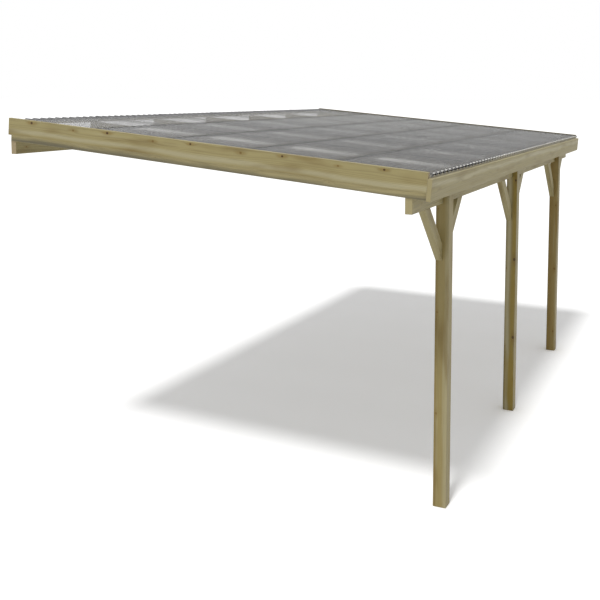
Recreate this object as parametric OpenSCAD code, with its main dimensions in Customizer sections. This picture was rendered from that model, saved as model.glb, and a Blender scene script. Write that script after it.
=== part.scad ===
// Lean-to carport: three timber posts and an eaves beam on one side, a ledger on a wall on the other,
// and a lean-to roof of rafters, purlins and corrugated sheets between them.
// X runs from the wall out to the posts, Y along the wall from front to rear, Z up.
// The origin is the middle of the ledger's wall face. All lengths are millimetres.

/* [Posts] */
// Width of the square posts
post_w = 88; // [70:1:140]
// Clear distance from the wall to the inner faces of the posts
clear_span = 2975; // [2000:5:4000]
// Height of the eaves beam's underside above the ground
beam_clear_h = 1987; // [1600:1:2600]

/* [Eaves beam and wall ledger] */
// Thickness of the eaves beam
beam_t = 45; // [30:1:60]
// Height of the eaves beam
beam_h = 95; // [70:1:160]
// How far the beam runs on past the outer faces of the end posts
beam_overhang = 573; // [400:1:1000]
// Thickness of the wall ledger
ledger_t = 45; // [30:1:70]
// Height of the wall ledger
ledger_h = 95; // [70:1:160]

/* [Braces] */
// Thickness of the braces
brace_t = 45; // [25:1:60]
// Depth of the braces, square to their length
brace_d = 75; // [50:1:110]
// Reach of a brace along the beam, from the face of its post
brace_run = 350; // [250:5:600]
// Reach of a brace down its post, from the underside of the beam
brace_rise = 365; // [250:5:600]

/* [Roof frame] */
// Length of the roof along the wall, over both verge boards
roof_len = 5090; // [4600:10:6000]
// How far the rafters run on past the outer faces of the posts
eaves_overhang = 45; // [20:1:400]
// Fall of the roof towards the posts, in degrees
roof_fall = 5; // [3:0.5:12]
// Thickness of the rafters
rafter_t = 45; // [30:1:70]
// Height of the rafters
rafter_h = 116; // [70:1:160]
// Width of the flat purlins
purlin_w = 48; // [30:1:70]
// Height of the purlins
purlin_h = 24; // [18:1:60]

/* [Edge boards] */
// Thickness of the verge boards
verge_t = 28; // [15:1:40]
// Height of the verge boards
verge_h = 120; // [80:1:160]
// How far the verge boards stand above the purlins
verge_stand = 25; // [22:1:40]
// Thickness of the eaves fascia
fascia_t = 28; // [15:1:40]
// Height of the eaves fascia
fascia_h = 130; // [80:1:138]

/* [Roof sheets] */
// Distance from one crest of the corrugation to the next
wave_pitch = 76; // [60:1:90]
// Height of the corrugation, without the sheet's thickness
wave_h = 18; // [10:1:24]
// Thickness of the sheets
sheet_t = 1.5; // [1:0.1:3]
// Clearance between the sheets and what they rest on or lap
sheet_gap = 0.2; // [0.1:0.05:0.5]
// Distance from the wall to the upper ends of the sheets, down the slope
sheet_top_gap = 15; // [5:1:60]
// How far the sheets stop short of the fascia's outer face
sheet_eaves_gap = 12; // [0:1:25]

/* [Hidden] */

// How many of each repeated piece the carport has
rafter_count = 7;
purlin_count = 6;
sheet_count = 6;
// Points along one wave of the corrugation
wave_steps = 12;
// How far a cut runs past the piece it is made in
overrun = 10;
// Clearance between a post's tongue and the rafters above it
tongue_gap = 3;

timber = "#9c9065";
timber_grey = "#9e947a";
sheet_grey = "#939190";

// Length of the frame between the verge boards, and the posts spread under it
frame_len = roof_len - 2 * verge_t;
post_spacing = (frame_len - post_w) / 2 - beam_overhang;
// The beam lies on the inner half of each post, with its inner face flush
beam_out_x = clear_span + beam_t;
post_out_x = clear_span + post_w;
rafter_len = (post_out_x + eaves_overhang) / cos(roof_fall);
// Heights above the ground: the rafters' undersides fall from the ledger's back edge over the beam
beam_top_z = beam_clear_h + beam_h;
ledger_top_z = beam_top_z + clear_span * tan(roof_fall);
ledger_mid_z = ledger_top_z - ledger_h / 2;
tongue_top_z = ledger_top_z - post_out_x * tan(roof_fall) - tongue_gap;
// Levels square to the slope, from the rafters' undersides
purlin_top_n = rafter_h + purlin_h;
verge_top_n = purlin_top_n + verge_stand;
// Corrugation: as many whole waves as fit between the verge boards
wave_count = floor(frame_len / wave_pitch);
covered_len = wave_count * wave_pitch;
sheet_len = rafter_len + fascia_t - sheet_eaves_gap - sheet_top_gap;
lap_lift = sheet_t + sheet_gap;

// Puts a piece that is drawn above ground level into the part's own frame
module above_ground() {
    translate([0, 0, -ledger_mid_z])
        children();
}

// Puts a piece that is drawn on the level onto the sloping undersides of the rafters
module on_slope() {
    above_ground()
        translate([0, 0, ledger_top_z])
            rotate([0, roof_fall, 0])
                children();
}

// Square post with its inner half cut away, so that the beam sits on it against a tongue
module post(y) {
    color(timber)
        above_ground()
            translate([clear_span, y - post_w / 2, 0])
                difference() {
                    cube([post_w, post_w, tongue_top_z]);
                    translate([-overrun, -overrun, beam_clear_h])
                        cube([beam_t + overrun, post_w + 2 * overrun, beam_h + overrun]);
                }
}

// Diagonal brace from a post up to the beam, mitred flat against both; side is -1 to the front, 1 to the rear
module brace(y, side) {
    brace_angle = atan2(brace_rise, brace_run);
    color(timber)
        above_ground()
            translate([clear_span, y + side * post_w / 2, beam_clear_h])
                rotate([90, 0, 90])
                    linear_extrude(brace_t)
                        polygon([
                            [0, -brace_rise],
                            [side * brace_run, 0],
                            [side * (brace_run - brace_d / sin(brace_angle)), 0],
                            [0, brace_d / cos(brace_angle) - brace_rise]
                        ]);
}

module beam_body() {
    above_ground()
        translate([clear_span, -frame_len / 2, beam_clear_h])
            cube([beam_t, frame_len, beam_h]);
}

module ledger_body() {
    translate([0, -frame_len / 2, -ledger_h / 2])
        cube([ledger_t, frame_len, ledger_h]);
}

module eaves_beam() {
    color(timber)
        beam_body();
}

module wall_ledger() {
    color(timber)
        ledger_body();
}

// Middle of a piece that is one of count, spread evenly over a length with the end ones flush
function spread(index, count, length, width) = width / 2 + index * (length - width) / (count - 1);

// Rafter with level seats cut where it lies on the ledger and the beam
module rafter(index) {
    y = spread(index, rafter_count, frame_len, rafter_t) - frame_len / 2;
    color(timber)
        difference() {
            on_slope()
                translate([0, y - rafter_t / 2, 0])
                    cube([rafter_len, rafter_t, rafter_h]);
            seat_cut(0, ledger_t, ledger_top_z);
            seat_cut(clear_span, beam_out_x, beam_top_z);
        }
}

// Space under a level seat between two distances from the wall
module seat_cut(from_x, to_x, seat_z) {
    above_ground()
        translate([from_x, -roof_len / 2, seat_z - rafter_h])
            cube([to_x - from_x, roof_len, rafter_h]);
}

// Flat purlin across the rafters, one of a row from the wall to the eaves
module purlin(index) {
    down = spread(index, purlin_count, rafter_len, purlin_w) - purlin_w / 2;
    color(timber)
        on_slope()
            translate([down, -frame_len / 2, rafter_h])
                cube([purlin_w, frame_len, purlin_h]);
}

// Verge board on the outer face of an end rafter; side is -1 at the front, 1 at the rear
module verge_board(side) {
    color(timber)
        on_slope()
            translate([0, side * (roof_len - verge_t) / 2 - verge_t / 2, verge_top_n - verge_h])
                cube([rafter_len, verge_t, verge_h]);
}

// Fascia across the lower ends of the rafters and verge boards
module eaves_fascia() {
    color(timber_grey)
        on_slope()
            translate([rafter_len, -roof_len / 2, 0])
                cube([fascia_t, roof_len, fascia_h]);
}

// Height of the corrugation at a distance along the wall, from the valleys
function wave_at(along) = wave_h / 2 * (1 - cos(360 * along / wave_pitch));

// Lift of a sheet's last wave over the next sheet's first one, ramped over the half wave before it
function lift_at(along, lap_start) =
    lap_lift * max(0, min(1, 1 + (along - lap_start) * 2 / wave_pitch));

// First wave of a sheet, with the waves shared out over the sheets as evenly as they go
function first_wave(index) = round(index * wave_count / sheet_count);

// Corrugated sheet, whose last wave laps over the next sheet
module roof_sheet(index) {
    is_last = index == sheet_count - 1;
    start = first_wave(index) * wave_pitch;
    lap_start = first_wave(index + 1) * wave_pitch;
    steps = (first_wave(index + 1) - first_wave(index) + (is_last ? 0 : 1)) * wave_steps;
    lower = [
        for (i = [0:steps])
            let (along = start + i * wave_pitch / wave_steps)
            [along, wave_at(along) + (is_last ? 0 : lift_at(along, lap_start))]
    ];
    upper = [for (i = [steps:-1:0]) lower[i] + [0, sheet_t]];
    color(sheet_grey)
        on_slope()
            translate([sheet_top_gap, -covered_len / 2, purlin_top_n + sheet_gap])
                rotate([90, 0, 90])
                    linear_extrude(sheet_len)
                        polygon(concat(lower, upper));
}

post(-post_spacing);  // front_post
post(0);  // middle_post
post(post_spacing);  // rear_post
brace(-post_spacing, -1);  // front_post_front_brace
brace(-post_spacing, 1);  // front_post_rear_brace
brace(0, -1);  // middle_post_front_brace
brace(0, 1);  // middle_post_rear_brace
brace(post_spacing, -1);  // rear_post_front_brace
brace(post_spacing, 1);  // rear_post_rear_brace
eaves_beam();
wall_ledger();
rafter(0);  // rafter_1
rafter(1);  // rafter_2
rafter(2);  // rafter_3
rafter(3);  // rafter_4
rafter(4);  // rafter_5
rafter(5);  // rafter_6
rafter(6);  // rafter_7
purlin(0);  // purlin_1
purlin(1);  // purlin_2
purlin(2);  // purlin_3
purlin(3);  // purlin_4
purlin(4);  // purlin_5
purlin(5);  // purlin_6
verge_board(-1);  // front_verge_board
verge_board(1);  // rear_verge_board
eaves_fascia();
roof_sheet(0);  // roof_sheet_1
roof_sheet(1);  // roof_sheet_2
roof_sheet(2);  // roof_sheet_3
roof_sheet(3);  // roof_sheet_4
roof_sheet(4);  // roof_sheet_5
roof_sheet(5);  // roof_sheet_6
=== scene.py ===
"""Looks of the lean-to carport: pressure-treated pine, smoked corrugated sheets, floor, light and camera."""

import math

import bmesh
import bpy
from mathutils import Matrix, Vector


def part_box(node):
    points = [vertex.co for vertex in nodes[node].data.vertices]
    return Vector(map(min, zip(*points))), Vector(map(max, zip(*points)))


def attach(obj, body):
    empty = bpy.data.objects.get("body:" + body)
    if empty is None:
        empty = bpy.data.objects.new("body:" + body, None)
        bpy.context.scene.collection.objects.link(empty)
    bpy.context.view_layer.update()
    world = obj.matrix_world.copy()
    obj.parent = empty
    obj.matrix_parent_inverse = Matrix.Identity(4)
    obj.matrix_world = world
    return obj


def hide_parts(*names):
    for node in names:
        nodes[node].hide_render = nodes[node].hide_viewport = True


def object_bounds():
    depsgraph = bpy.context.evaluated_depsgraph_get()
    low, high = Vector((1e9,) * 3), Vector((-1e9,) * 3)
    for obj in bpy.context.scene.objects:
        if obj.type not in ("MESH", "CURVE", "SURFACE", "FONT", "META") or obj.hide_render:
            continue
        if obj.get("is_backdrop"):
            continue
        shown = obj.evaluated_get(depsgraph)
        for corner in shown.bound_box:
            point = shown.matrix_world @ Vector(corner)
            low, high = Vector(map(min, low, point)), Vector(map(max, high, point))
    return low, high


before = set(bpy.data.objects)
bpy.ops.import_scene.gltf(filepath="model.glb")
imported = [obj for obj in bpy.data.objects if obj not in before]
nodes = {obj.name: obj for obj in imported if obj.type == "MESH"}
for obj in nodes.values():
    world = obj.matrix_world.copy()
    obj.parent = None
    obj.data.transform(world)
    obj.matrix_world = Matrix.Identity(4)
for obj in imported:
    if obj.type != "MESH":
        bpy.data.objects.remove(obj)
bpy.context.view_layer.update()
scene = bpy.context.scene

POSTS = ["front_post", "middle_post", "rear_post"]
BRACES = [f"{post}_{side}_brace" for post in POSTS for side in ("front", "rear")]
RAFTERS = [f"rafter_{i}" for i in range(1, 8)]
PURLINS = [f"purlin_{i}" for i in range(1, 7)]
VERGES = ["front_verge_board", "rear_verge_board"]
SHEETS = [f"roof_sheet_{i}" for i in range(1, 7)]


# Places on the roof, read from the frame
def middle(name):
    low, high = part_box(name)
    return (low + high) / 2


upper_purlin, lower_purlin = middle(PURLINS[0]), middle(PURLINS[-1])
FALL = math.atan2(upper_purlin.z - lower_purlin.z, lower_purlin.x - upper_purlin.x)
DOWN_SLOPE = Vector((math.cos(FALL), 0, -math.sin(FALL)))
OFF_SLOPE = Vector((math.sin(FALL), 0, math.cos(FALL)))
ALONG_WALL = Vector((0, 1, 0))
UP = Vector((0, 0, 1))
OUT = Vector((1, 0, 0))
ROOF_ORIGIN = Vector((0, 0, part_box("wall_ledger")[1].z))
GROUND_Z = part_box("front_post")[0].z


def roof_point(down, along, off):
    """A point by its distance down the slope, along the wall, and off the rafters' undersides."""
    return ROOF_ORIGIN + down * DOWN_SLOPE + along * ALONG_WALL + off * OFF_SLOPE


def roof_reach(name):
    """Lowest and highest distances of a piece down the slope, along the wall and off the slope."""
    spots = [vertex.co - ROOF_ORIGIN for vertex in nodes[name].data.vertices]
    axes = (DOWN_SLOPE, ALONG_WALL, OFF_SLOPE)
    return [(min(s.dot(axis) for s in spots), max(s.dot(axis) for s in spots)) for axis in axes]


def tone(red, green, blue):
    """A colour written as it shows on a screen, 0 to 255, as linear RGBA."""
    parts = [channel / 255 for channel in (red, green, blue)]
    return tuple(((p + 0.055) / 1.055) ** 2.4 if p > 0.04045 else p / 12.92 for p in parts) + (1.0,)


# Small helpers for shader nodes
def feed(tree, sockets, values):
    """Sets each socket to its plain value, or links it where the value comes from another node."""
    for key, value in values.items():
        if isinstance(value, bpy.types.NodeSocket):
            tree.links.new(value, sockets[key])
        else:
            sockets[key].default_value = value


def add_node(tree, kind, inputs=None, **settings):
    made = tree.nodes.new(kind)
    for name, value in settings.items():
        setattr(made, name, value)
    feed(tree, made.inputs, inputs or {})
    return made


def maths(tree, operation, first, second=0.0, third=0.0, clamp=False):
    values = {0: first, 1: second, 2: third}
    return add_node(tree, "ShaderNodeMath", values, operation=operation, use_clamp=clamp).outputs[0]


def product(tree, first, *others):
    for other in others:
        first = maths(tree, "MULTIPLY", first, other)
    return first


def distance(tree, first, second):
    """Length of the line whose two legs are given."""
    squares = maths(tree, "MULTIPLY_ADD", first, first, maths(tree, "MULTIPLY", second, second))
    return maths(tree, "SQRT", squares)


def vector_maths(tree, operation, first, second=(0.0, 0.0, 0.0)):
    return add_node(tree, "ShaderNodeVectorMath", {0: first, 1: second}, operation=operation).outputs


def parts_of(tree, vector):
    return add_node(tree, "ShaderNodeSeparateXYZ", {0: vector}).outputs


def chances(tree, number):
    """Three values from 0 to 1 that are always the same for the same number."""
    drawn = add_node(tree, "ShaderNodeTexWhiteNoise", {"W": number}, noise_dimensions="1D")
    return add_node(tree, "ShaderNodeSeparateColor", {0: drawn.outputs["Color"]}).outputs


def mixed(tree, share, first, second, blend="MIX"):
    values = {0: share, 6: first, 7: second}
    return add_node(tree, "ShaderNodeMix", values, data_type="RGBA", blend_type=blend).outputs[2]


def mixed_value(tree, share, first, second):
    return add_node(tree, "ShaderNodeMix", {0: share, 2: first, 3: second}, data_type="FLOAT").outputs[0]


def ramped(tree, value, low, high, to_low=0.0, to_high=1.0):
    """A smooth step from one value to another while the given value goes from low to high."""
    values = {0: value, 1: low, 2: high, 3: to_low, 4: to_high}
    return add_node(tree, "ShaderNodeMapRange", values, interpolation_type="SMOOTHSTEP").outputs[0]


def noise(tree, place, stretch, detail=2.0, roughness=0.5):
    """Noise with about so many features a metre along each axis."""
    spot = vector_maths(tree, "MULTIPLY", place, stretch)[0]
    values = {"Vector": spot, "Scale": 1.0, "Detail": detail, "Roughness": roughness}
    return add_node(tree, "ShaderNodeTexNoise", values).outputs["Fac"]


def new_group(name, inputs, outputs):
    tree = bpy.data.node_groups.new(name, "ShaderNodeTree")
    for label, kind, value in inputs:
        socket = tree.interface.new_socket(name=label, in_out="INPUT", socket_type="NodeSocket" + kind)
        socket.default_value = value
    for label, kind in outputs:
        tree.interface.new_socket(name=label, in_out="OUTPUT", socket_type="NodeSocket" + kind)
    return tree, tree.nodes.new("NodeGroupInput").outputs, tree.nodes.new("NodeGroupOutput").inputs


def use_group(tree, group, inputs):
    return add_node(tree, "ShaderNodeGroup", inputs, node_tree=group).outputs


NO_PLACE = (0.0, 0.0, 0.0)
WHOLE_SIZE = (1.0, 1.0, 1.0)
USUAL_NOISE = (0.2, 0.8)

# Knots: their spread of sizes, how far they stray, and the reach of their parts in knot radii
KNOT_SEED_STEP = 17.3
KNOT_SIZES = (0.8, 1.2)
KNOT_STRAY_ALONG, KNOT_STRAY_ACROSS = 0.6, 0.12
HEART_SQUEEZE, HALO_SQUEEZE = 0.8, 0.3
HEART_EDGE, HALO_EDGE, SWERVE_EDGE = (1.15, 0.65), (2.4, 0.6), (3.2, 0.4)
SWERVE_SHARE = 0.4


def build_knot_row():
    """A row of branch knots through a board: dark hearts, and halos that the grain swerves round."""
    tree, given, out = new_group(
        "knot_row",
        [
            ("Along", "Float", 0.0), ("Across", "Float", 0.0), ("Seed", "Float", 0.0),
            ("Spacing", "Float", 0.66), ("First", "Float", 0.0), ("Height", "Float", 0.0),
            ("Radius", "Float", 0.006), ("Scatter", "Float", 0.0),
        ],
        [("Heart", "Float"), ("Halo", "Float"), ("Swerve", "Float")],
    )
    steps = maths(tree, "DIVIDE", maths(tree, "SUBTRACT", given["Along"], given["First"]), given["Spacing"])
    index = maths(tree, "ROUND", steps)
    drawn = chances(tree, maths(tree, "MULTIPLY_ADD", given["Seed"], KNOT_SEED_STEP, index))
    stray_along, stray_across = (
        product(tree, maths(tree, "SUBTRACT", drawn[i], 0.5), given["Scatter"]) for i in (0, 1)
    )
    from_step = product(tree, maths(tree, "SUBTRACT", steps, index), given["Spacing"])
    off_along = maths(tree, "MULTIPLY_ADD", stray_along, -KNOT_STRAY_ALONG, from_step)
    level = maths(tree, "MULTIPLY_ADD", stray_across, KNOT_STRAY_ACROSS, given["Height"])
    off_across = maths(tree, "SUBTRACT", given["Across"], level)
    size = product(tree, given["Radius"], ramped(tree, drawn[2], 0.0, 1.0, *KNOT_SIZES))

    def reach(squeeze):
        """Distance from the knot in its own radii, squeezed along the grain to draw the knot out."""
        return maths(tree, "DIVIDE", distance(tree, off_across, product(tree, off_along, squeeze)), size)

    halo_reach = reach(HALO_SQUEEZE)
    feed(tree, out, {
        "Heart": ramped(tree, reach(HEART_SQUEEZE), *HEART_EDGE),
        "Halo": ramped(tree, halo_reach, *HALO_EDGE),
        "Swerve": product(tree, ramped(tree, halo_reach, *SWERVE_EDGE), given["Radius"], SWERVE_SHARE),
    })
    return tree


# Grain: where a board's pith lies beside it, and the width and ripple of its growth rings
BOARD_SEED_STEPS = (7.31, 1.73, 3.97)
PITH_ACROSS = (-0.05, 0.05)
PITH_WANDER = (-0.03, 0.03)
PITH_THROUGH = (-0.09, -0.035)
RING_WIDTH = 0.0055
RING_RIPPLE = 2.4
LATE_WOOD, RING_END = (0.35, 0.85), (1.0, 0.9)
CHECK_EDGE = (0.735, 0.765)


def build_board_grain():
    """Growth rings round a board's pith, broad streaks, fine fibres, blotches and drying checks."""
    tree, given, out = new_group(
        "board_grain",
        [("Board", "Vector", NO_PLACE), ("Seed", "Float", 0.0), ("Swerve", "Float", 0.0)],
        [(label, "Float") for label in ("Rings", "Streaks", "Fibres", "Blotches", "Checks")],
    )
    apart = add_node(tree, "ShaderNodeCombineXYZ", {
        axis: product(tree, given["Seed"], step) for axis, step in enumerate(BOARD_SEED_STEPS)
    }).outputs[0]
    own = vector_maths(tree, "ADD", given["Board"], apart)[0]

    def figure(along, across, detail, roughness=0.5):
        return noise(tree, own, (along, across, across), detail, roughness)

    place = parts_of(tree, given["Board"])
    drawn = chances(tree, given["Seed"])
    pith_across = maths(
        tree, "ADD", ramped(tree, drawn[0], 0.0, 1.0, *PITH_ACROSS),
        ramped(tree, figure(0.7, 0.0, detail=1.0), *USUAL_NOISE, *PITH_WANDER),
    )
    from_pith = distance(
        tree, maths(tree, "SUBTRACT", place[1], pith_across),
        maths(tree, "SUBTRACT", place[2], ramped(tree, drawn[1], 0.0, 1.0, *PITH_THROUGH)),
    )
    rings = maths(tree, "DIVIDE", maths(tree, "ADD", from_pith, given["Swerve"]), RING_WIDTH)
    ripple = figure(2.0, 14.0, detail=2.0)
    year = maths(tree, "FRACT", maths(tree, "MULTIPLY_ADD", ripple, RING_RIPPLE, rings))
    feed(tree, out, {
        "Rings": product(tree, ramped(tree, year, *LATE_WOOD), ramped(tree, year, *RING_END)),
        "Streaks": figure(1.1, 34.0, detail=3.0, roughness=0.55),
        "Fibres": figure(9.0, 520.0, detail=2.0, roughness=0.6),
        "Blotches": figure(2.4, 11.0, detail=2.0),
        "Checks": ramped(tree, figure(1.6, 130.0, detail=1.0, roughness=0.4), *CHECK_EDGE),
    })
    return tree


# Wear: its usual width, how unevenly that width runs along an edge, and how it fades inwards
WEAR_WIDTH = 0.006
WEAR_STRETCH = (14.0, 40.0, 40.0)
WEAR_UNEVENNESS = (0.3, 0.75, 0.25, 1.6)
WEAR_EDGE = (1.0, 0.25)


def build_worn_arrises():
    """Mask of a board's worn edges, from the place in the board and the board's half size."""
    tree, given, out = new_group(
        "worn_arrises",
        [("Board", "Vector", NO_PLACE), ("Half Size", "Vector", WHOLE_SIZE)],
        [("Wear", "Float")],
    )
    from_middle = vector_maths(tree, "ABSOLUTE", given["Board"])[0]
    depth = parts_of(tree, vector_maths(tree, "SUBTRACT", given["Half Size"], from_middle)[0])

    def overall(operation):
        return maths(tree, operation, maths(tree, operation, depth[0], depth[1]), depth[2])

    # On an edge, the second least of the three depths is small too
    second = maths(
        tree, "SUBTRACT", maths(tree, "SUBTRACT", overall("ADD"), overall("MAXIMUM")), overall("MINIMUM"),
    )
    uneven = noise(tree, given["Board"], WEAR_STRETCH, detail=3.0, roughness=0.6)
    width = product(tree, ramped(tree, uneven, *WEAR_UNEVENNESS), WEAR_WIDTH)
    feed(tree, out, {"Wear": ramped(tree, maths(tree, "DIVIDE", second, width), *WEAR_EDGE)})
    return tree


# Treated pine: edges between a board's faces, shares of its marks, and the tones of knots and checks
FACE_EDGE = (0.4, 0.8)
END_EDGE = (0.75, 0.95)
# Painted light and shade on one side of a board: how it follows the face's turn, and its share
PAINTED_SHADING_EDGE = (0.5, 0.9)
PAINTED_SHADING_SHARE = 0.8
BAND_EDGE = (1.0, 0.1)
BAND_STRETCH = (1.3, 4.0, 4.0)
BAND_WANDER = (-0.012, 0.012)
STREAK_EDGE, STREAK_SHARE = (0.52, 0.82), 0.8
BLOTCH_EDGE = (0.48, 0.74)
RING_SHARE, END_RING_SHARE = 0.2, 0.4
FIBRE_EDGE, FIBRE_TONES = (0.25, 0.75), (0.93, 1.07)
STREAK_ROUGHNESS = (0.3, 0.7, 0.5, 0.62)
FAINT_SEED_STEP = 41.0
DARK_HALO_SHARE, FAINT_HALO_SHARE = 0.5, 0.35
FAINT_HEART_SHARE = 0.7
WEAR_SHARE = 0.3
CHECK_SHARE = 0.4
DARK_BAND_TONE = tone(86, 76, 46)
DARK_HEART_TONE = tone(66, 40, 0)
FAINT_HEART_TONE = tone(104, 74, 14)
CHECK_TONE = tone(84, 72, 44)
END_RING_TONE = tone(122, 102, 70)


def build_treated_pine(knot_row, board_grain, worn_arrises):
    """Colour, roughness and relief of pressure-treated pine, in a board's own coordinates."""
    bands = [
        (f"{band} {part}", "Float", value)
        for band in ("Pale", "Brown", "Dark")
        for part, value in (("Band", 0.0), ("Width", 0.02), ("Share", 0.0))
    ]
    knots = [
        (f"{kind} Knot {part}", "Float", value)
        for kind, first in (("Dark", 0.0), ("Faint", 0.3))
        for part, value in (("First", first), ("Height", 0.0), ("Radius", 0.006), ("Share", 1.0))
    ]
    tree, given, out = new_group(
        "treated_pine",
        [
            ("Board", "Vector", NO_PLACE), ("Board Normal", "Vector", NO_PLACE),
            ("Half Size", "Vector", WHOLE_SIZE), ("Seed", "Float", 0.0),
            ("Sapwood", "Color", tone(170, 161, 126)), ("Timber", "Color", tone(156, 145, 103)),
            ("Heartwood", "Color", tone(126, 108, 62)), ("End Grain", "Color", tone(168, 152, 120)),
            *bands, ("Knot Spacing", "Float", 0.66), ("Knot Scatter", "Float", 0.2), *knots,
            ("Halo", "Color", tone(126, 98, 28)),
            ("Blotch Share", "Float", 0.7), ("Side Light", "Float", 0.0),
            ("Stained Side", "Vector", NO_PLACE), ("Stain", "Color", tone(58, 51, 32)),
        ],
        [("Color", "Color"), ("Roughness", "Float"), ("Height", "Float")],
    )
    place = parts_of(tree, given["Board"])

    def knots_of(kind, seed):
        return use_group(tree, knot_row, {
            "Along": place[0], "Across": place[1], "Seed": seed,
            "Spacing": given["Knot Spacing"], "Scatter": given["Knot Scatter"],
            **{part: given[f"{kind} Knot {part}"] for part in ("First", "Height", "Radius")},
        })

    dark = knots_of("Dark", given["Seed"])
    faint = knots_of("Faint", maths(tree, "ADD", given["Seed"], FAINT_SEED_STEP))
    grain = use_group(tree, board_grain, {
        "Board": given["Board"], "Seed": given["Seed"],
        "Swerve": maths(tree, "ADD", dark["Swerve"], faint["Swerve"]),
    })
    wear = use_group(tree, worn_arrises, {"Board": given["Board"], "Half Size": given["Half Size"]})["Wear"]

    # Paler, browner and darker bands with a slow wander along the broad faces, and narrow sides painted paler
    # as light
    on_end, on_narrow, on_broad = (
        maths(tree, "ABSOLUTE", part) for part in parts_of(tree, given["Board Normal"])
    )
    broad = ramped(tree, on_broad, *FACE_EDGE)
    wander = noise(tree, given["Board"], BAND_STRETCH)
    level = maths(tree, "ADD", place[1], ramped(tree, wander, *USUAL_NOISE, *BAND_WANDER))

    def band(kind):
        off = maths(tree, "SUBTRACT", level, given[f"{kind} Band"])
        off = maths(tree, "ABSOLUTE", maths(tree, "DIVIDE", off, given[f"{kind} Width"]))
        return product(tree, given[f"{kind} Share"], broad, ramped(tree, off, *BAND_EDGE))

    pale = maths(
        tree, "MULTIPLY_ADD", ramped(tree, on_narrow, *FACE_EDGE), given["Side Light"], band("Pale"),
    )
    streaks = ramped(tree, grain["Streaks"], *STREAK_EDGE, 0.0, STREAK_SHARE)
    blotches = product(tree, ramped(tree, grain["Blotches"], *BLOTCH_EDGE), given["Blotch Share"])
    colour = mixed(tree, maths(tree, "ADD", pale, streaks, clamp=True), given["Timber"], given["Sapwood"])
    brown = maths(tree, "ADD", band("Brown"), blotches, clamp=True)
    colour = mixed(tree, brown, colour, given["Heartwood"])
    colour = mixed(tree, band("Dark"), colour, DARK_BAND_TONE)

    # Rings and fibres, then knots, worn edges and checks
    late_wood = mixed(tree, 1.0, colour, given["Heartwood"], "MULTIPLY")
    colour = mixed(tree, product(tree, grain["Rings"], RING_SHARE), colour, late_wood)
    fibre = ramped(tree, grain["Fibres"], *FIBRE_EDGE, *FIBRE_TONES)
    fibre_grey = add_node(tree, "ShaderNodeCombineColor", {0: fibre, 1: fibre, 2: fibre}).outputs[0]
    colour = mixed(tree, 1.0, colour, fibre_grey, "MULTIPLY")
    dark_halo = product(tree, dark["Halo"], DARK_HALO_SHARE, given["Dark Knot Share"])
    faint_halo = product(tree, faint["Halo"], FAINT_HALO_SHARE, given["Faint Knot Share"])
    dark_heart = product(tree, dark["Heart"], given["Dark Knot Share"])
    faint_heart = product(tree, faint["Heart"], FAINT_HEART_SHARE, given["Faint Knot Share"])
    colour = mixed(tree, maths(tree, "MAXIMUM", dark_halo, faint_halo), colour, given["Halo"])
    colour = mixed(tree, faint_heart, colour, FAINT_HEART_TONE)
    colour = mixed(tree, dark_heart, colour, DARK_HEART_TONE)
    colour = mixed(tree, product(tree, wear, WEAR_SHARE), colour, given["Sapwood"])
    colour = mixed(tree, product(tree, grain["Checks"], CHECK_SHARE), colour, CHECK_TONE)

    # Painted light and shade on one side of the board: a colour laid on the faces that turn to the given side
    to_side = vector_maths(tree, "DOT_PRODUCT", given["Board Normal"], given["Stained Side"])["Value"]
    colour = mixed(tree, ramped(tree, to_side, *PAINTED_SHADING_EDGE, 0.0, PAINTED_SHADING_SHARE), colour, given["Stain"])

    # Sawn ends: paler and pinker, with the rings showing as arcs
    end_share = ramped(tree, on_end, *END_EDGE)
    end_colour = mixed(tree, product(tree, grain["Rings"], END_RING_SHARE), given["End Grain"], END_RING_TONE)
    end_colour = mixed(tree, 1.0, end_colour, fibre_grey, "MULTIPLY")

    # How much each mark adds to the roughness and to the relief
    rough = ramped(tree, grain["Streaks"], *STREAK_ROUGHNESS)
    for mark, share in ((grain["Rings"], -0.06), (end_share, 0.2), (wear, 0.1)):
        rough = maths(tree, "MULTIPLY_ADD", mark, share, rough)
    height = product(tree, grain["Fibres"], 0.35)
    for mark, share in ((grain["Rings"], 0.45), (grain["Checks"], -1.2), (dark_heart, -0.5)):
        height = maths(tree, "MULTIPLY_ADD", mark, share, height)
    feed(tree, out, {
        "Color": mixed(tree, end_share, colour, end_colour), "Roughness": rough, "Height": height,
    })
    return tree


treated_pine = build_treated_pine(build_knot_row(), build_board_grain(), build_worn_arrises())

# Finish of the timber pieces
TIMBER_SPECULAR = 0.45
RELIEF_STRENGTH, RELIEF_DEPTH = 0.35, 0.0006
EASED_ARRIS, EASED_VERGE, EASED_POST = 0.0025, 0.0012, 0.004
ARRIS_SEGMENTS = 2
JOIN_REACH = 0.0001
FLAT_ANGLE = math.radians(1)
ARRIS_ANGLE = math.radians(30)


def board_frame(name, grain, across):
    """A board's own axes, the middle of the board and its half size along them."""
    grain, across = grain.normalized(), across.normalized()
    turn = Matrix((grain, across, grain.cross(across))).transposed()
    spots = [turn.transposed() @ vertex.co for vertex in nodes[name].data.vertices]
    low = Vector([min(s[i] for s in spots) for i in range(3)])
    high = Vector([max(s[i] for s in spots) for i in range(3)])
    return turn, turn @ ((low + high) / 2), (high - low) / 2


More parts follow.
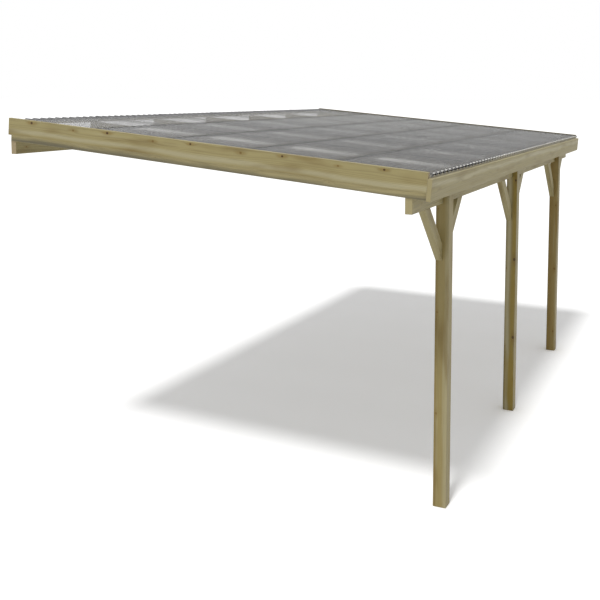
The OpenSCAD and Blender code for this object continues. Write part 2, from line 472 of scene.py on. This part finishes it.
def timber_material(name, grain, across, seed, looks):
    """A board of treated pine of its own, with its grain and its broad faces turned as given."""
    turn, centre, half = board_frame(name, grain, across)
    angles = turn.to_euler()
    material = bpy.data.materials.new("treated_pine_" + name)
    material.use_nodes = True
    tree = material.node_tree
    spot = tree.nodes.new("ShaderNodeTexCoord").outputs
    board, normal = (
        add_node(tree, "ShaderNodeMapping", inputs, vector_type="TEXTURE").outputs[0]
        for inputs in (
            {"Vector": spot["Object"], "Location": centre, "Rotation": angles},
            {"Vector": spot["Normal"], "Rotation": angles},
        )
    )
    finish = use_group(tree, treated_pine, {
        "Board": board, "Board Normal": normal, "Half Size": half, "Seed": float(seed),
        **{key.replace("_", " ").title(): value for key, value in looks.items()},
    })
    relief = add_node(tree, "ShaderNodeBump", {
        "Strength": RELIEF_STRENGTH, "Distance": RELIEF_DEPTH, "Height": finish["Height"],
    })
    feed(tree, tree.nodes["Principled BSDF"].inputs, {
        "Base Color": finish["Color"], "Roughness": finish["Roughness"], "Normal": relief.outputs[0],
        "Specular IOR Level": TIMBER_SPECULAR,
    })
    return material


def dress_timber(name, grain, across, seed, eased=EASED_ARRIS, **looks):
    """Gives a timber piece its board of treated pine and eased arrises."""
    piece = nodes[name]
    piece.data.materials.clear()
    piece.data.materials.append(timber_material(name, grain, across, seed, looks))
    joined = piece.modifiers.new("joined_faces", "WELD")
    joined.merge_threshold = JOIN_REACH
    flat = piece.modifiers.new("whole_faces", "DECIMATE")
    flat.decimate_type = "DISSOLVE"
    flat.angle_limit = FLAT_ANGLE
    arris = piece.modifiers.new("eased_arrises", "BEVEL")
    arris.width = eased
    arris.segments = ARRIS_SEGMENTS
    arris.limit_method = "ANGLE"
    arris.angle_limit = ARRIS_ANGLE
    arris.harden_normals = True


# Verge boards, with the same knots at even steps down the slope, and painted shade on their inner faces
verge_top, verge_foot = roof_reach("front_verge_board")[0]
verge_half = (verge_foot - verge_top) / 2
for name, seed, inner_face in zip(VERGES, (3.0, 8.0), (-1.0, 1.0)):
    dress_timber(
        name, DOWN_SLOPE, OFF_SLOPE, seed, eased=EASED_VERGE,
        timber=tone(158, 146, 100), sapwood=tone(175, 167, 133),
        stained_side=(0.0, 0.0, inner_face), stain=tone(34, 28, 14),
        pale_band=-0.03, pale_width=0.024, pale_share=0.8,
        brown_band=-0.058, brown_width=0.012, brown_share=0.3,
        knot_spacing=0.661, knot_scatter=0.0,
        dark_knot_first=0.213 - verge_half, dark_knot_height=0.043, dark_knot_radius=0.0085,
        faint_knot_first=0.584 - verge_half, faint_knot_height=0.03, faint_knot_radius=0.0065,
    )

# Rafters: the outer two show below the verge boards, the others through the sheets. The outer two are paler,
# painted light that lifts the verge boards' shadow, and all have painted light on their top faces
OUTER_RAFTER_LOOKS = {
    "timber": tone(196, 183, 135), "heartwood": tone(128, 121, 95), "stain": tone(172, 165, 142),
    "dark_knot_share": 0.0, "faint_knot_share": 0.3,
}
INNER_RAFTER_LOOKS = {
    "timber": tone(156, 144, 103), "heartwood": tone(126, 108, 62), "stain": tone(208, 202, 186),
    "dark_knot_share": 0.6, "faint_knot_share": 0.8,
}
for index, name in enumerate(RAFTERS):
    rafter_looks = OUTER_RAFTER_LOOKS if name in (RAFTERS[0], RAFTERS[-1]) else INNER_RAFTER_LOOKS
    dress_timber(
        name, DOWN_SLOPE, OFF_SLOPE, 11.0 + index, stained_side=(0.0, 1.0, 0.0),
        brown_band=-0.058, brown_width=0.036, brown_share=0.95, blotch_share=0.25,
        knot_scatter=0.35, dark_knot_first=0.1 * index, dark_knot_height=0.01,
        faint_knot_first=0.35, faint_knot_height=-0.02, **rafter_looks,
    )
# Purlins, with painted light on their down-slope faces that lifts their shade under the sheets
for index, name in enumerate(PURLINS):
    dress_timber(
        name, ALONG_WALL, DOWN_SLOPE, 21.0 + index, knot_scatter=0.4, dark_knot_share=0.4,
        stained_side=(0.0, 1.0, 0.0), stain=tone(190, 185, 168),
    )
dress_timber(
    "eaves_fascia", ALONG_WALL, OFF_SLOPE, 31.0, timber=tone(160, 149, 107), sapwood=tone(181, 173, 139),
    pale_band=0.03, pale_width=0.026, pale_share=0.9, end_grain=tone(166, 155, 114),
    dark_knot_share=0.0, faint_knot_share=0.2, blotch_share=0.4,
)
dress_timber(
    "eaves_beam", ALONG_WALL, UP, 35.0, timber=tone(164, 153, 110), end_grain=tone(172, 161, 119),
    dark_knot_share=0.0, faint_knot_share=0.3,
)
dress_timber(
    "wall_ledger", ALONG_WALL, UP, 38.0, knot_scatter=0.0, faint_knot_first=-2.417, dark_knot_share=0.0,
)

# Posts, with their first knots counted from the ground, and painted light that makes their sides paler
post_half = middle("front_post").z - GROUND_Z
POST_LOOKS = {
    "front_post": {
        "timber": tone(152, 136, 85), "heartwood": tone(128, 107, 53), "side_light": 0.4,
        "pale_band": 0.042, "pale_width": 0.03, "pale_share": 0.75,
        "brown_band": -0.036, "brown_width": 0.02, "brown_share": 0.6,
        "faint_knot_first": 0.624 - post_half, "faint_knot_height": -0.028, "faint_knot_share": 0.8,
        "dark_knot_share": 0.0,
    },
    "middle_post": {
        "timber": tone(139, 127, 87), "heartwood": tone(143, 122, 50), "side_light": 0.6,
        "pale_band": -0.014, "pale_width": 0.022, "pale_share": 0.9,
        "brown_band": 0.026, "brown_width": 0.034, "brown_share": 0.95,
        "dark_band": -0.046, "dark_width": 0.016, "dark_share": 0.7,
        "faint_knot_first": 0.557 - post_half, "faint_knot_height": -0.035, "faint_knot_share": 0.8,
        "dark_knot_first": 0.636 - post_half, "dark_knot_height": 0.031, "dark_knot_share": 0.85,
        "dark_knot_radius": 0.0095, "halo": tone(106, 82, 32),
    },
    "rear_post": {
        "timber": tone(144, 124, 70), "heartwood": tone(128, 104, 45), "side_light": 0.5,
        "pale_band": 0.046, "pale_width": 0.02, "pale_share": 0.4,
        "brown_band": -0.026, "brown_width": 0.05, "brown_share": 0.7,
        "dark_band": -0.046, "dark_width": 0.014, "dark_share": 0.5,
        "faint_knot_first": 0.87 - post_half, "faint_knot_height": 0.0225, "faint_knot_radius": 0.009,
        "dark_knot_share": 0.0,
    },
}
for index, name in enumerate(POSTS):
    dress_timber(
        name, UP, OUT, 41.0 + index, eased=EASED_POST,
        knot_spacing=0.664, knot_scatter=0.0, **POST_LOOKS[name],
    )
for index, name in enumerate(BRACES):
    low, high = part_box(name)
    lean = -1 if name.endswith("front_brace") else 1
    rise = Vector((0, lean * (high.y - low.y), high.z - low.z))
    dress_timber(
        name, rise, OUT, 51.0 + index, timber=tone(164, 153, 110), dark_knot_share=0.0, faint_knot_share=0.3,
    )


# Smoked corrugated sheets: their waves as in the part, and how much sun and sky they hold back
WAVE_PITCH = 0.076
WAVE_HEIGHT = 0.018
SHEET_THICKNESS = 0.0015
LAP_LIFT = 0.0017
WAVE_STEPS = 24
SHEET_IOR = 1.5
SUN_COVER = 0.86
SKY_COVER = 0.05

# Places and reach of the marks on the sheets, from none to full, with crests as heights above the valleys
FIRST_PURLIN, LAST_PURLIN = (sum(roof_reach(name)[0]) / 2 for name in (PURLINS[0], PURLINS[-1]))
PURLIN_SPACING = (LAST_PURLIN - FIRST_PURLIN) / (len(PURLINS) - 1)
# Painted shade in a line just below each purlin
PURLIN_SHADE_BELOW = 0.045
PURLIN_SHADE_EDGE = (1.25, 0.75)
# The lip at the eaves, with painted shade in its valleys and painted highlights on its crests
EAVES_LIP_REACH = (0.015, 0.005)
# A darker band at the wall end of the sheets, with painted shade on its crests
WALL_BAND_REACH = (0.22, 0.088)
# Painted shade along the rear verge
VERGE_SHADE_REACH = (0.14, 0.07)
# Heights on the crests of the lip's painted highlights
LIP_CREST = (0.0138, 0.0172)
# Heights on the crests of the wall band's painted shade
WALL_BAND_CREST = (0.0125, 0.016)
# Rows of painted light on the sheets a little in front of each rafter
FIRST_RAFTER_LIGHT = -2.04
RAFTER_LIGHT_SPACING = 0.846
RAFTER_LIGHT_REACH = (0.15, 0.015)
RUN_STRETCH, RUN_EDGE = (0.8, 16.0, 16.0), (0.35, 0.75)
DUST_STRETCH, DUST_EDGE = (7.0, 7.0, 7.0), (0.3, 0.7)

# Fades down the slope and along the wall: from one place to another, and from one value to another
PURLIN_SHADE_WIDTH_DOWN = (1.2, 2.4, 0.02175, 0.015)
PURLIN_SHADE_ALONG, PURLIN_SHADE_DOWN = (-2.4, 1.6, 1.0, 0.85), (0.6, 2.4, 1.0, 0.8)
RAFTER_LIGHT_FRONT_ALONG, RAFTER_LIGHT_REAR_ALONG = (-2.1, -0.9, 1.0, 0.42), (-0.9, 0.9, 1.0, 0.45)
REAR_LIGHT_ALONG, REAR_LIGHT_DOWN = (-1.2, 1.0, 0.0, 1.0), (0.6, 3.0, 0.85, 0.3)
FRONT_SHADE_ALONG, FRONT_SHADE_DOWN = (-2.4, 0.8, 0.25, 0.0), (0.9, 2.1, 0.0, 1.2)
LIP_SHADE_ALONG, CREST_HIGHLIGHT_ALONG = (-1.75, -0.75, 0.0, 1.0), (-1.0, 0.6, 0.0, 1.0)
WALL_BAY_COVER_ALONG = (-2.3, 0.4, 0.18, 0.115)

# Fades within the bays between purlins, counted from the wall
RAFTER_LIGHT_IN_BAY_START, RAFTER_LIGHT_IN_BAY_END = (0.18, 0.28, 0.0, 1.0), (0.4, 1.0, 1.0, 0.5)
RAFTER_LIGHT_FIRST_BAY = (0.95, 1.05)
WALL_BAY_EDGE = (1.08, 1.05)

# Tones of the plastic, of what lies on it, and of the painted light and shade
SMOKE_TONE, HAZE_TONE = tone(136, 136, 137), tone(140, 140, 139)
REAR_LIGHT_TONE, FRONT_SHADE_TONE = tone(156, 156, 155), tone(108, 108, 108)
RAFTER_LIGHT_TONE, WALL_BAY_LIGHT_TONE, PURLIN_SHADE_TONE = tone(228, 228, 226), tone(205, 205, 204), tone(78, 78, 77)
WALL_BAND_TONE, WALL_BAND_CREST_SHADE_TONE = tone(112, 112, 112), tone(50, 50, 51)
VERGE_SHADE_TONE = tone(66, 63, 54)
LIP_SHADE_FRONT_TONE, LIP_SHADE_REAR_TONE = tone(34, 32, 28), tone(146, 143, 131)
CREST_HIGHLIGHT_FRONT_TONE, CREST_HIGHLIGHT_REAR_TONE = tone(236, 235, 230), tone(208, 207, 202)

# Shares of the marks in the colour, and what they add to the cover
RAFTER_LIGHT_SHARE, WALL_BAY_LIGHT_SHARE, PURLIN_SHADE_SHARE = 0.55, 0.22, 0.97
WALL_BAND_SHARE, VERGE_SHADE_SHARE = 0.95, 0.9
HAZE_COVER, WALL_BAND_COVER = (0.29, 0.31), (0.45, 0.8)
PURLIN_SHADE_COVER, VERGE_SHADE_COVER, LIP_COVER = 0.26, 0.5, 0.75
HAZE_ROUGHNESS = (0.28, 0.5)


def build_smoked_sheet():
    """Marks of the smoked plastic, in roof coordinates: dusty runs, painted shade just below each purlin,
    rows of painted light in front of the rafters, a darker band at the wall with painted shade on its crests,
    painted shade along the rear verge, and the lip at the eaves with painted shade in its valleys and painted
    highlights on its crests."""
    tree, given, out = new_group(
        "smoked_sheet", [("Roof", "Vector", NO_PLACE), ("Crest Highlight", "Float", 0.0)],
        [("Color", "Color"), ("Roughness", "Float"), ("Cover", "Float")],
    )
    roof = given["Roof"]
    place = parts_of(tree, roof)
    (_, eaves_end), _, (valley, _) = roof_reach(SHEETS[0])
    rear_side = roof_reach(SHEETS[-1])[1][1]

    def down(fade):
        return ramped(tree, place[0], *fade)

    def along(fade):
        return ramped(tree, place[1], *fade)

    def crest(heights):
        return ramped(tree, place[2], *(valley + height for height in heights))

    def from_nearest(spot, first, spacing):
        steps = maths(tree, "DIVIDE", maths(tree, "SUBTRACT", spot, first), spacing)
        share = maths(tree, "ABSOLUTE", maths(tree, "SUBTRACT", steps, maths(tree, "ROUND", steps)))
        return product(tree, share, spacing)

    # Masks of the marks
    runs = noise(tree, roof, RUN_STRETCH, detail=3.0, roughness=0.6)
    dust = noise(tree, roof, DUST_STRETCH, detail=4.0, roughness=0.6)
    haze = product(tree, ramped(tree, runs, *RUN_EDGE), ramped(tree, dust, *DUST_EDGE))
    # Painted shade in a line just below each purlin, fading to the rear and down the slope
    from_line = from_nearest(place[0], FIRST_PURLIN + PURLIN_SHADE_BELOW, PURLIN_SPACING)
    line_edge = ramped(tree, maths(tree, "DIVIDE", from_line, down(PURLIN_SHADE_WIDTH_DOWN)), *PURLIN_SHADE_EDGE)
    purlin_shade = product(tree, line_edge, along(PURLIN_SHADE_ALONG), down(PURLIN_SHADE_DOWN))
    bay = maths(tree, "DIVIDE", maths(tree, "SUBTRACT", place[0], FIRST_PURLIN), PURLIN_SPACING)
    in_bay = maths(tree, "FRACT", bay)
    # The bay by the wall is clearer, and painted paler as light that stands in for the bright backdrop seen
    # through it
    wall_bay = ramped(tree, bay, *WALL_BAY_EDGE)
    # Painted light in a row a little in front of each rafter, within each bay and fading to the rear
    from_rafter_light = from_nearest(place[1], FIRST_RAFTER_LIGHT, RAFTER_LIGHT_SPACING)
    rafter_light = product(
        tree, ramped(tree, from_rafter_light, *RAFTER_LIGHT_REACH),
        ramped(tree, in_bay, *RAFTER_LIGHT_IN_BAY_START), ramped(tree, in_bay, *RAFTER_LIGHT_IN_BAY_END),
        ramped(tree, bay, *RAFTER_LIGHT_FIRST_BAY), along(RAFTER_LIGHT_FRONT_ALONG), along(RAFTER_LIGHT_REAR_ALONG),
    )
    # A darker band at the wall end, with painted shade on its crests
    wall_band = down(WALL_BAND_REACH)
    band_crest = crest(WALL_BAND_CREST)
    # Painted shade along the rear verge
    verge_shade = along([rear_side - reach for reach in VERGE_SHADE_REACH])
    # The lip at the eaves, where its painted shade and painted highlights lie
    lip = down([eaves_end - reach for reach in EAVES_LIP_REACH])

    # Colour, from the plastic up to the bands: painted shade towards the front, painted light towards the
    # rear and in front of the rafters, a paler wall bay, painted shade below the purlins, at the wall and
    # along the rear verge; then the lip's painted shade in its valleys and painted highlights on its crests
    band_tone = mixed(tree, band_crest, WALL_BAND_TONE, WALL_BAND_CREST_SHADE_TONE)
    colour = mixed(tree, haze, SMOKE_TONE, HAZE_TONE)
    for share, laid_on in (
        (product(tree, along(REAR_LIGHT_ALONG), down(REAR_LIGHT_DOWN)), REAR_LIGHT_TONE),
        (product(tree, along(FRONT_SHADE_ALONG), down(FRONT_SHADE_DOWN)), FRONT_SHADE_TONE),
        (product(tree, rafter_light, RAFTER_LIGHT_SHARE), RAFTER_LIGHT_TONE),
        (product(tree, wall_bay, WALL_BAY_LIGHT_SHARE), WALL_BAY_LIGHT_TONE),
        (product(tree, purlin_shade, PURLIN_SHADE_SHARE), PURLIN_SHADE_TONE),
        (product(tree, wall_band, WALL_BAND_SHARE), band_tone),
        (product(tree, verge_shade, VERGE_SHADE_SHARE), VERGE_SHADE_TONE),
    ):
        colour = mixed(tree, share, colour, laid_on)
    lip_shade = mixed(tree, along(LIP_SHADE_ALONG), LIP_SHADE_FRONT_TONE, LIP_SHADE_REAR_TONE)
    crest_highlight_tone = mixed(tree, along(CREST_HIGHLIGHT_ALONG), CREST_HIGHLIGHT_FRONT_TONE, CREST_HIGHLIGHT_REAR_TONE)
    lip_tone = mixed(tree, product(tree, crest(LIP_CREST), given["Crest Highlight"]), lip_shade, crest_highlight_tone)

    # Cover: how little shows through
    hazed = ramped(tree, haze, 0.0, 1.0, *HAZE_COVER)
    cover = mixed_value(tree, wall_bay, hazed, along(WALL_BAY_COVER_ALONG))
    cover = maths(tree, "MULTIPLY_ADD", purlin_shade, PURLIN_SHADE_COVER, cover)
    band_cover = ramped(tree, band_crest, 0.0, 1.0, *WALL_BAND_COVER)
    cover = maths(tree, "MULTIPLY_ADD", wall_band, band_cover, cover)
    cover = maths(tree, "MULTIPLY_ADD", verge_shade, VERGE_SHADE_COVER, cover)
    feed(tree, out, {
        "Color": mixed(tree, lip, colour, lip_tone),
        "Roughness": ramped(tree, haze, 0.0, 1.0, *HAZE_ROUGHNESS),
        "Cover": maths(tree, "MULTIPLY_ADD", lip, LIP_COVER, cover, clamp=True),
    })
    return tree


def smoked_sheet_material(name, marks, crest_highlight):
    """Smoked plastic that shows the frame below it, shades the sun and lets the sky's light through."""
    material = bpy.data.materials.new(name)
    material.use_nodes = True
    tree = material.node_tree
    turn = Matrix((DOWN_SLOPE, ALONG_WALL, OFF_SLOPE)).transposed()
    spot = tree.nodes.new("ShaderNodeTexCoord").outputs["Object"]
    on_roof = {"Vector": spot, "Location": ROOF_ORIGIN, "Rotation": turn.to_euler()}
    roof = add_node(tree, "ShaderNodeMapping", on_roof, vector_type="TEXTURE").outputs[0]
    finish = use_group(tree, marks, {"Roof": roof, "Crest Highlight": crest_highlight})
    rays = add_node(tree, "ShaderNodeLightPath").outputs
    shade = mixed_value(tree, rays["Is Shadow Ray"], SKY_COVER, SUN_COVER)
    feed(tree, tree.nodes["Principled BSDF"].inputs, {
        "Base Color": finish["Color"], "Roughness": finish["Roughness"], "IOR": SHEET_IOR,
        "Alpha": mixed_value(tree, rays["Is Camera Ray"], shade, finish["Cover"]),
    })
    return material


def corrugated_sheet(index, name, materials):
    """One sheet with its waves across the slope; its last wave lies on the next sheet's first one."""
    (top_end, low_end), (start, stop), (valley, _) = roof_reach(name)
    waves = round((stop - start) / WAVE_PITCH)
    laps = index < len(SHEETS) - 1
    lap_start = start + (waves - 1) * WAVE_PITCH
    profile = []
    for step in range(waves * WAVE_STEPS + 1):
        along = start + step * WAVE_PITCH / WAVE_STEPS
        rise = WAVE_HEIGHT / 2 * (1 - math.cos(2 * math.pi * step / WAVE_STEPS))
        lift = LAP_LIFT * min(1, max(0, 1 + (along - lap_start) * 2 / WAVE_PITCH)) if laps else 0
        profile.append((along, valley + rise + lift))
    shape = bmesh.new()
    rows = []
    for down in (top_end, low_end):
        for off in (0, SHEET_THICKNESS):
            rows.append([shape.verts.new(roof_point(down, along, rise + off)) for along, rise in profile])
    under_top, over_top, under_low, over_low = rows
    for k in range(len(profile) - 1):
        shape.faces.new((over_top[k], over_low[k], over_low[k + 1], over_top[k + 1])).smooth = True
        underside = shape.faces.new((under_top[k + 1], under_low[k + 1], under_low[k], under_top[k]))
        underside.smooth = True
        underside.material_index = 1
        shape.faces.new((under_top[k], over_top[k], over_top[k + 1], under_top[k + 1]))
        shape.faces.new((over_low[k], under_low[k], under_low[k + 1], over_low[k + 1]))
    for k in (0, -1):
        rim = (under_top[k], under_low[k], over_low[k], over_top[k])
        shape.faces.new(rim if k == 0 else rim[::-1])
    for edge in shape.edges:
        edge.smooth = all(face.smooth for face in edge.link_faces)
    shape.normal_update()
    mesh = bpy.data.meshes.new("smoked_" + name)
    shape.to_mesh(mesh)
    shape.free()
    for material in materials:
        mesh.materials.append(material)
    piece = bpy.data.objects.new("smoked_" + name, mesh)
    scene.collection.objects.link(piece)
    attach(piece, "root")
    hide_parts(name)


sheet_marks = build_smoked_sheet()
# The top side takes the lip's painted highlights on its crests; the underside takes none
sheet_finishes = [
    smoked_sheet_material("smoked_sheet", sheet_marks, crest_highlight=1.0),
    smoked_sheet_material("smoked_sheet_underside", sheet_marks, crest_highlight=0.0),
]
for index, name in enumerate(SHEETS):
    corrugated_sheet(index, name, sheet_finishes)


# Floor, light and camera
FLOOR_REACH = 400.0
FLOOR_SHADE = (0.8, 0.8, 0.8, 1.0)
FLOOR_SEEN = (1.2, 1.2, 1.2, 1.0)
WHITE = (1.0, 1.0, 1.0, 1.0)
AMBIENT = 0.51
SUN_LEVEL = 1.72
SUN_WIDTH = math.radians(9)
SUN_TURN = (math.radians(27.4), 0, math.radians(0.7))
LENS_LENGTH = 51.391
SENSOR_WIDTH = 36
LENS_SHIFT_X, LENS_SHIFT_Y = -0.05, -0.2117
CAMERA_PLACE = (4.6299, -7.0858, 0.3671)
CAMERA_TURN = (math.radians(90 - 5.162), 0, math.radians(24.943))
FAR_CLIP = 2000
SEE_THROUGH_LAYERS = 48

corners = [(x * FLOOR_REACH, y * FLOOR_REACH, GROUND_Z) for x, y in ((-1, -1), (1, -1), (1, 1), (-1, 1))]
floor_mesh = bpy.data.meshes.new("floor")
floor_mesh.from_pydata(corners, [], [(0, 1, 2, 3)])
floor = bpy.data.objects.new("floor", floor_mesh)
scene.collection.objects.link(floor)
floor_paper = bpy.data.materials.new("floor_paper")
floor_paper.use_nodes = True
tree = floor_paper.node_tree
seen = add_node(tree, "ShaderNodeLightPath").outputs["Is Camera Ray"]
feed(tree, tree.nodes["Principled BSDF"].inputs, {
    "Base Color": mixed(tree, seen, FLOOR_SHADE, FLOOR_SEEN), "Roughness": 1.0, "Specular IOR Level": 0.0,
})
floor_mesh.materials.append(floor_paper)
floor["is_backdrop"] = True

world = bpy.data.worlds.new("studio")
scene.world = world
world.use_nodes = True
world.cycles.sampling_method = "NONE"
tree = world.node_tree
rays = add_node(tree, "ShaderNodeLightPath").outputs
clear_ray = maths(tree, "MAXIMUM", rays["Is Camera Ray"], rays["Is Glossy Ray"])
clear_ray = maths(tree, "MAXIMUM", clear_ray, rays["Is Transmission Ray"])
feed(tree, tree.nodes["Background"].inputs, {
    "Color": WHITE, "Strength": ramped(tree, clear_ray, 0.0, 1.0, AMBIENT, 1.0),
})

sun = bpy.data.lights.new("studio_sun", "SUN")
sun.energy = SUN_LEVEL
sun.angle = SUN_WIDTH
sun_lamp = bpy.data.objects.new("studio_sun", sun)
sun_lamp.rotation_euler = SUN_TURN
scene.collection.objects.link(sun_lamp)

lens = bpy.data.cameras.new("camera")
lens.lens = LENS_LENGTH
lens.sensor_width = SENSOR_WIDTH
lens.shift_x = LENS_SHIFT_X
lens.shift_y = LENS_SHIFT_Y
lens.clip_end = FAR_CLIP
camera = bpy.data.objects.new("camera", lens)
camera.location = CAMERA_PLACE
camera.rotation_euler = CAMERA_TURN
scene.collection.objects.link(camera)
scene.camera = camera

scene.view_settings.view_transform = "Standard"
scene.cycles.transparent_max_bounces = SEE_THROUGH_LAYERS

low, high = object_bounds()
